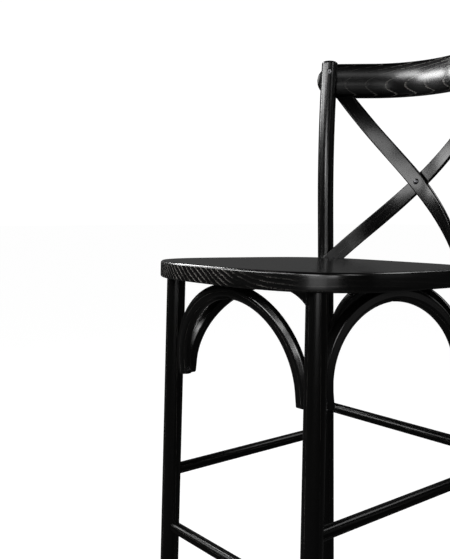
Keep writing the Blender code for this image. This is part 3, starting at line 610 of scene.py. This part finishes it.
# Arches: bentwood hoops of square ash with broadly eased edges under the seat, one between each
# pair of legs, a little deeper towards their feet, screwed to the legs from inside and to the seat.
ARCH_DEPTH = 0.0245
ARCH_WIDTH = 0.0195
ARCH_ROUND = 0.004
ARCH_CUT = 0.0040
ARCH_SHANK = 0.018
ARCH_SWELL = 0.0032
ARCH_SET_IN = 0.005
SHANK_RINGS = 44
CROSSWISE = {"drop": 0.190, "bite": 0.004, "screw_rise": 0.008}
LENGTHWISE = {"lean": 0.0255, "drop": 0.194, "bite": 0.0015, "screw_rise": 0.022}
AXES = {"front": front_axis, "rear": rear_axis}
ARCHES = {
    "front": (("front", "right"), ("front", "left"), (0.0, 1.0, 0.0), {"lean": -0.014, **CROSSWISE}),
    "back": (("rear", "right"), ("rear", "left"), (0.0, -1.0, 0.0), {"lean": -0.008, **CROSSWISE}),
    "right": (("front", "right"), ("rear", "right"), (1.0, 0.0, 0.0), LENGTHWISE),
    "left": (("front", "left"), ("rear", "left"), (-1.0, 0.0, 0.0), LENGTHWISE)}


def hoop(name, first, second, inward, lean, drop, bite, screw_rise):
    """An arch's rings: its rounded box carried up a short shank, over half an ellipse and down again.

    The section's inner side grows by the swell times the root of one less the squared share of the
    rise, so most at the feet and not at the crown.
    """
    def axis(pair, height):
        return AXES[pair[0]](SIDES[pair[1]], height)
    inward = np.array(inward)
    foot = SEAT_HEIGHT - drop
    feet = [axis(pair, foot) + inward * ARCH_SET_IN for pair in (first, second)]
    springs = [axis(pair, foot + ARCH_SHANK) for pair in (first, second)]
    crown = sum(axis(pair, SEAT_HEIGHT - SEAT_THICKNESS) for pair in (first, second)) / 2 + inward * lean
    crown[2] = seat_under(crown[1]) - (FIT + ARCH_DEPTH / 2) / np.cos(SEAT_FALL)
    middle = (feet[0] + feet[1]) / 2
    across = unit(feet[1] - feet[0])
    up = (crown - middle) - (crown - middle) @ across * across
    rise = np.linalg.norm(up) - FIT
    up = unit(up)
    square = np.cross(across, up)
    inset = LEG_RADIUS - bite + ARCH_DEPTH / 2
    half_foot = np.linalg.norm(feet[1] - feet[0]) / 2 - inset
    half_spring = np.linalg.norm(springs[1] - springs[0]) / 2 - inset
    shank = np.linspace(0, 1, SHANK_RINGS, endpoint=False)
    turn = np.linspace(0, np.pi, 161)
    shank_x = half_foot + (half_spring - half_foot) * shank
    shank_y = ARCH_SHANK * shank
    x = np.concatenate([shank_x, half_spring * np.cos(turn), -shank_x[::-1]])
    y = np.concatenate([shank_y, ARCH_SHANK + (rise - ARCH_SHANK) * np.sin(turn), shank_y[::-1]])
    path = np.stack([x, y], -1)
    tangent = unit(np.gradient(path, axis=0))
    outward = np.stack([tangent[:, 1], -tangent[:, 0]], -1)
    box = rounded_box(ARCH_DEPTH, ARCH_WIDTH, ARCH_ROUND, 128, ARCH_CUT)
    swell = ARCH_SWELL * np.sqrt(1 - (y / rise) ** 2 * (1 - 1e-9))
    depth = box[:, 0] - swell[:, None] * np.clip(0.5 - box[:, 0] / ARCH_DEPTH, 0, 1)
    flat = path[:, None] + depth[..., None] * outward[:, None]
    rings = middle + flat[..., :1] * across + flat[..., 1:] * up + box[:, 1:] * square
    for sign, pair in ((-1, first), (1, second)):
        place = middle + across * sign * (half_foot - ARCH_DEPTH / 2 - ARCH_SWELL) + up * screw_rise
        rings = sink(rings, f"arch_{name}_screw_{'_'.join(pair)}", place, across * sign)
    rings = sink(rings, f"arch_{name}_screw_seat", middle + up * (rise - ARCH_DEPTH / 2), up)
    fibre = np.stack(np.broadcast_arrays(run_along(path)[:, None], box[:, 0], box[:, 1]), -1)
    return rings, fibre


# The eye sees a thicker coat: black with crisp streaks of light along the eased edges.
hoop_ash = black_ash("black_stained_ash_hoop", **PLAIN_GRAIN, gloss=0.6, coat=0.4)
for number, (name, (first, second, inward, fitting)) in enumerate(ARCHES.items()):
    rings, fibre = hoop(name, first, second, inward, **fitting)
    fibre = pith(fibre, start=number * 0.7, offset=(0.03, 0.02), lean=(0.02, -0.015))
    skin(f"bentwood_arch_{name}", f"arch_{name}", rings, fibre, hoop_ash)

# Stretchers: plain turned ash rods in blind sockets in the legs, stained and thinly lacquered like
# the slats. The back one lies highest; the lowest, in front, is the foot rest.
STRETCHER_RADIUS = 0.010
STRETCHER_SOCKET = 0.009
SIDE_STRETCHER_DROP = 0.370
REAR_STRETCHER_RISE = 0.052
FOOT_REST_FALL = 0.100
SIDE_LEVEL = SEAT_HEIGHT - SIDE_STRETCHER_DROP
RODS = {
    "stretcher_right": (("front", "right"), ("rear", "right"), SIDE_LEVEL),
    "stretcher_left": (("front", "left"), ("rear", "left"), SIDE_LEVEL),
    "stretcher_back": (("rear", "right"), ("rear", "left"), SIDE_LEVEL + REAR_STRETCHER_RISE),
    "foot_rest_front": (("front", "right"), ("front", "left"), SIDE_LEVEL - FOOT_REST_FALL)}
for number, (name, (first, second, height)) in enumerate(RODS.items()):
    start, end = (AXES[row](SIDES[word], height) for row, word in (first, second))
    run = unit(end - start) * (LEG_RADIUS - STRETCHER_SOCKET)
    path = np.linspace(start + run, end - run, 60)
    rings, fibre = tube(path, STRETCHER_RADIUS, (0.0, 0.0, 1.0), 80)
    fibre = pith(fibre, start=number * 0.5, offset=(0.015, 0.02), lean=(0.01, 0.015))
    skin(f"turned_{name}", name, rings, fibre, strip_ash)

# Rivet and screws: a steel rivet in black oxide with a dome on both sides where the slats cross,
# and countersunk steel wood screws with a cross recess, lightly oiled and sunk below the surface.
RIVET_RADIUS = 0.00575
RIVET_DOME = 0.0026
RIVET_SHANK_SHARE = 0.6
SCREW_HEAD = 0.0030
SCREW_SHANK = 0.0018
SCREW_LENGTH = 0.012
SCREW_TIP = 0.003
RECESS_ARM = 0.0006
RECESS_REACH = 0.0024
RECESS_DEPTH = 0.0016
RECESS_WALL = 0.0003
RECESS_END = 0.0006
FACE_START = 0.0002
POLE_RADIUS = 0.0003
WEAR_PATCH = 0.002
WEAR_SPREAD = 0.08
SKEW = (0.31, 0.23, 0.92)
TURNED_STEPS = 48


def plain_finish(name, colour, roughness, metallic):
    """A plain dark finish whose roughness varies a little, in patches about 2 mm wide."""
    material = bpy.data.materials.new(name)
    material.use_nodes = True
    tree = material.node_tree
    shader = tree.nodes["Principled BSDF"]
    shader.inputs["Base Color"].default_value = linear(colour)
    shader.inputs["Metallic"].default_value = metallic
    place = add(tree, "ShaderNodeTexCoord", {}).outputs["Object"]
    uneven_gloss = add(tree, "ShaderNodeTexNoise", {"Vector": place, "Scale": 1 / WEAR_PATCH, "Detail": 2.0})
    rough = add(tree, "ShaderNodeMapRange",
                {"Value": uneven_gloss.outputs["Fac"], "To Min": roughness - WEAR_SPREAD,
                 "To Max": roughness + WEAR_SPREAD})
    tree.links.new(rough.outputs[0], shader.inputs["Roughness"])
    return material


def turned(place, axis, radius, height):
    """Rings of a turned piece: radii at heights along an axis from a place; both may vary around it."""
    axis = unit(np.asarray(axis))
    first = unit(np.cross(axis, SKEW))
    second = np.cross(axis, first)
    turn = np.linspace(0, 2 * np.pi, TURNED_STEPS, endpoint=False)
    radius, height = np.broadcast_arrays(radius, height, turn)[:2]
    return (place + radius[..., None] * (np.cos(turn)[:, None] * first + np.sin(turn)[:, None] * second)
            + height[..., None] * axis)


# The eye sees small grey glints in the screws' recesses, and a dark grey dome with a soft highlight.
steel = plain_finish("oiled_screw_steel", "#8a8a8c", roughness=0.30, metallic=1.0)
black_steel = plain_finish("black_oxide_rivet_steel", "#545456", roughness=0.34, metallic=1.0)
rivet_place, rivet_axis = back_surface(np.array(0.0), crossing[2])
rivet_half = SLAT_THICKNESS + SLAT_GAP / 2 + FIT
dome = np.linspace(0.06, np.pi / 2, 14)
radius = RIVET_RADIUS * np.concatenate([
    np.sin(dome), [RIVET_SHANK_SHARE, RIVET_SHANK_SHARE], np.sin(dome[::-1])])
height = np.concatenate([rivet_half + RIVET_DOME * np.cos(dome), [rivet_half, -rivet_half],
                         -rivet_half - RIVET_DOME * np.cos(dome[::-1])])
rings = turned(rivet_place, rivet_axis, radius[:, None], height[:, None])
skin("domed_rivet", "cross_rivet", rings, rings, black_steel)

turn = np.linspace(0, 2 * np.pi, TURNED_STEPS, endpoint=False)
face = np.linspace(FACE_START, SCREW_RADIUS, 22)[:, None]
arm = np.minimum(np.abs(face * np.cos(turn)), np.abs(face * np.sin(turn)))
cross = np.clip((RECESS_ARM - arm) / RECESS_WALL, 0, 1) * np.clip((RECESS_REACH - face) / RECESS_END, 0, 1)
below = np.array([[SCREW_RADIUS, SCREW_HEAD / 4], [SCREW_SHANK, SCREW_HEAD],
                  [SCREW_SHANK, SCREW_LENGTH - SCREW_TIP], [POLE_RADIUS, SCREW_LENGTH]])
radius = np.concatenate([face + 0 * turn, below[:, :1] + 0 * turn])
height = np.concatenate([cross * RECESS_DEPTH, below[:, 1:] + 0 * turn])
for name, (place, inward) in screws.items():
    rings = turned(place + inward * SCREW_SINK, inward, radius, height)
    skin(f"steel_{name}", name, rings, rings, steel)

# Foot glides: moulded black nylon discs with a rounded lower edge, one nailed under each foot.
# They carry the stool and keep the end grain off the floor.
GLIDE_RADIUS = 0.012
GLIDE_HEIGHT = 0.005
GLIDE_EDGE = 0.00125
# The eye sees plain, matte, very dark grey.
nylon = plain_finish("black_nylon", "#1a1a1a", roughness=0.55, metallic=0.0)
bend = np.linspace(0, np.pi / 2, 6)
radius = np.concatenate([[POLE_RADIUS, GLIDE_RADIUS], GLIDE_RADIUS - GLIDE_EDGE * (1 - np.cos(bend)),
                         [POLE_RADIUS]])
height = np.concatenate([[GLIDE_HEIGHT, GLIDE_HEIGHT], GLIDE_EDGE * (1 - np.sin(bend)), [0.0]])
for row, axis in AXES.items():
    for word, side in SIDES.items():
        place = axis(side, GLIDE_HEIGHT) * [1, 1, 0]
        rings = turned(place, (0.0, 0.0, 1.0), radius[:, None], height[:, None])
        skin(f"nylon_glide_{row}_{word}", f"foot_glide_{row}_{word}", rings, rings, nylon)

# Floor and surround: paper that the camera sees as white, with the stool's shadow on it. Everything
# else sees it dark, so that the black lacquer stays black, with a faint glow behind on the right.
FLOOR_REACH = 60.0
FLOOR_WHITE_SHARE = 0.835
FLOOR_GLOW_SHARE = 0.015
FLOOR_STRENGTH = 1.16
SURROUND_STRENGTH = 1.05
GLOW_TOWARDS = (-0.78, 0.62, 0.0)
WHITE = linear("#ffffff")
floor_mesh = bpy.data.meshes.new("studio_floor")
floor_corners = [(x * FLOOR_REACH, y * FLOOR_REACH, 0.0) for x, y in ((-1, -1), (1, -1), (1, 1), (-1, 1))]
floor_mesh.from_pydata(floor_corners, [], [(0, 1, 2, 3)])
floor = bpy.data.objects.new("studio_floor", floor_mesh)
bpy.context.scene.collection.objects.link(floor)
pale = bpy.data.materials.new("pale_studio_floor")
pale.use_nodes = True
tree = pale.node_tree
paper = tree.nodes["Principled BSDF"]
paper.inputs["Roughness"].default_value = 0.9
paper.inputs["Specular IOR Level"].default_value = 0.0
seen = add(tree, "ShaderNodeLightPath", {}).outputs["Is Camera Ray"]
tone = add(tree, "ShaderNodeMix", {"Factor": seen, "A": linear("#2c2c2c"), "B": linear("#f4f4f4")},
           data_type="RGBA")
tree.links.new(tone.outputs["Result"], paper.inputs["Base Color"])
share = add(tree, "ShaderNodeMath", {0: seen, 1: FLOOR_WHITE_SHARE, 2: FLOOR_GLOW_SHARE},
            operation="MULTIPLY_ADD")
white = add(tree, "ShaderNodeEmission", {"Color": WHITE, "Strength": FLOOR_STRENGTH})
mixed = add(tree, "ShaderNodeMixShader", {0: share.outputs[0], 1: paper.outputs[0], 2: white.outputs[0]})
tree.links.new(mixed.outputs[0], tree.nodes["Material Output"].inputs["Surface"])
floor_mesh.materials.append(pale)

world = bpy.data.worlds.new("white_surround")
bpy.context.scene.world = world
world.use_nodes = True
tree = world.node_tree
path_light = add(tree, "ShaderNodeLightPath", {})
toward = add(tree, "ShaderNodeTexCoord", {}).outputs["Generated"]
behind = add(tree, "ShaderNodeVectorMath", {0: toward, 1: GLOW_TOWARDS}, operation="DOT_PRODUCT")
glow = add(tree, "ShaderNodeMapRange", {"Value": behind.outputs["Value"], "From Min": 0.2, "From Max": 1.0,
                                        "To Min": 0.010, "To Max": 0.09}, interpolation_type="SMOOTHSTEP")
dim = tree.nodes["Background"]
dim.inputs["Color"].default_value = WHITE
tree.links.new(glow.outputs[0], dim.inputs["Strength"])
bright = add(tree, "ShaderNodeBackground", {"Color": WHITE, "Strength": SURROUND_STRENGTH})
mixed = add(tree, "ShaderNodeMixShader", {0: path_light.outputs["Is Camera Ray"], 1: dim.outputs[0],
                                          2: bright.outputs[0]})
tree.links.new(mixed.outputs[0], tree.nodes["World Output"].inputs["Surface"])

# Light: soft boxes all round, aimed a little above the seat and named by the picture's sides. Broad
# ones stand on the left and in front, a distant one high behind the camera draws the crest's long
# highlight, and near, low ones those of arches and legs. The rest give the edges their thin lines.
AIM_HEIGHT = 0.85


def soft_box(name, compass, rise, distance, size, power):
    """A soft box aimed at the stool's back and seat, from a compass angle off +X and an elevation."""
    light = bpy.data.lights.new(name, "AREA")
    light.shape = "RECTANGLE"
    light.size, light.size_y = size
    light.energy = power
    holder = bpy.data.objects.new(name, light)
    turn, lift = np.radians(compass), np.radians(rise)
    away = Vector((np.cos(turn) * np.cos(lift), np.sin(turn) * np.cos(lift), np.sin(lift)))
    holder.location = Vector((0.0, STOOL_Y, AIM_HEIGHT)) + away * distance
    holder.rotation_euler = away.to_track_quat("Z", "Y").to_euler()
    bpy.context.scene.collection.objects.link(holder)


soft_box("left_box", -122.0, 21.0, 2.6, (1.75, 0.45), 26.0)
soft_box("front_box", -88.0, 28.0, 2.6, (1.30, 0.40), 14.0)
soft_box("high_box", -54.0, 25.5, 8.0, (4.40, 0.80), 34.0)
soft_box("far_left_box", -158.0, 18.0, 2.6, (0.70, 0.50), 13.0)
soft_box("camera_box", -49.0, 10.5, 1.55, (0.60, 0.24), 4.2)
soft_box("low_box", -41.0, 0.0, 2.0, (0.80, 0.50), 1.6)
soft_box("rim_box", -174.0, 32.0, 2.6, (0.50, 0.50), 20.0)
soft_box("right_box", 5.0, 29.0, 2.6, (0.60, 0.60), 6.0)
soft_box("right_low_box", -22.0, 3.0, 2.6, (0.50, 0.30), 2.4)
soft_box("back_box", 80.0, 38.0, 2.6, (1.20, 0.60), 8.0)
soft_box("right_back_box", 40.0, 8.0, 2.6, (1.20, 1.20), 0.5)

# Camera: a little above the seat, before the stool's front left leg, and turned so far aside that
# the rear left leg and the back's left half lie outside the picture.
camera = bpy.data.objects.new("camera", bpy.data.cameras.new("camera"))
camera.data.sensor_width = 36.0
camera.data.lens = 46.537
camera.matrix_world = Matrix((
    (0.62127, -0.06888, 0.78055, 0.86420),
    (0.78358, 0.05461, -0.61887, -0.87770 + STOOL_Y),
    (0.0, 0.99613, 0.08790, 0.84000),
    (0.0, 0.0, 0.0, 1.0)))
bpy.context.scene.collection.objects.link(camera)
bpy.context.scene.camera = camera
bpy.context.scene.view_settings.view_transform = "Standard"
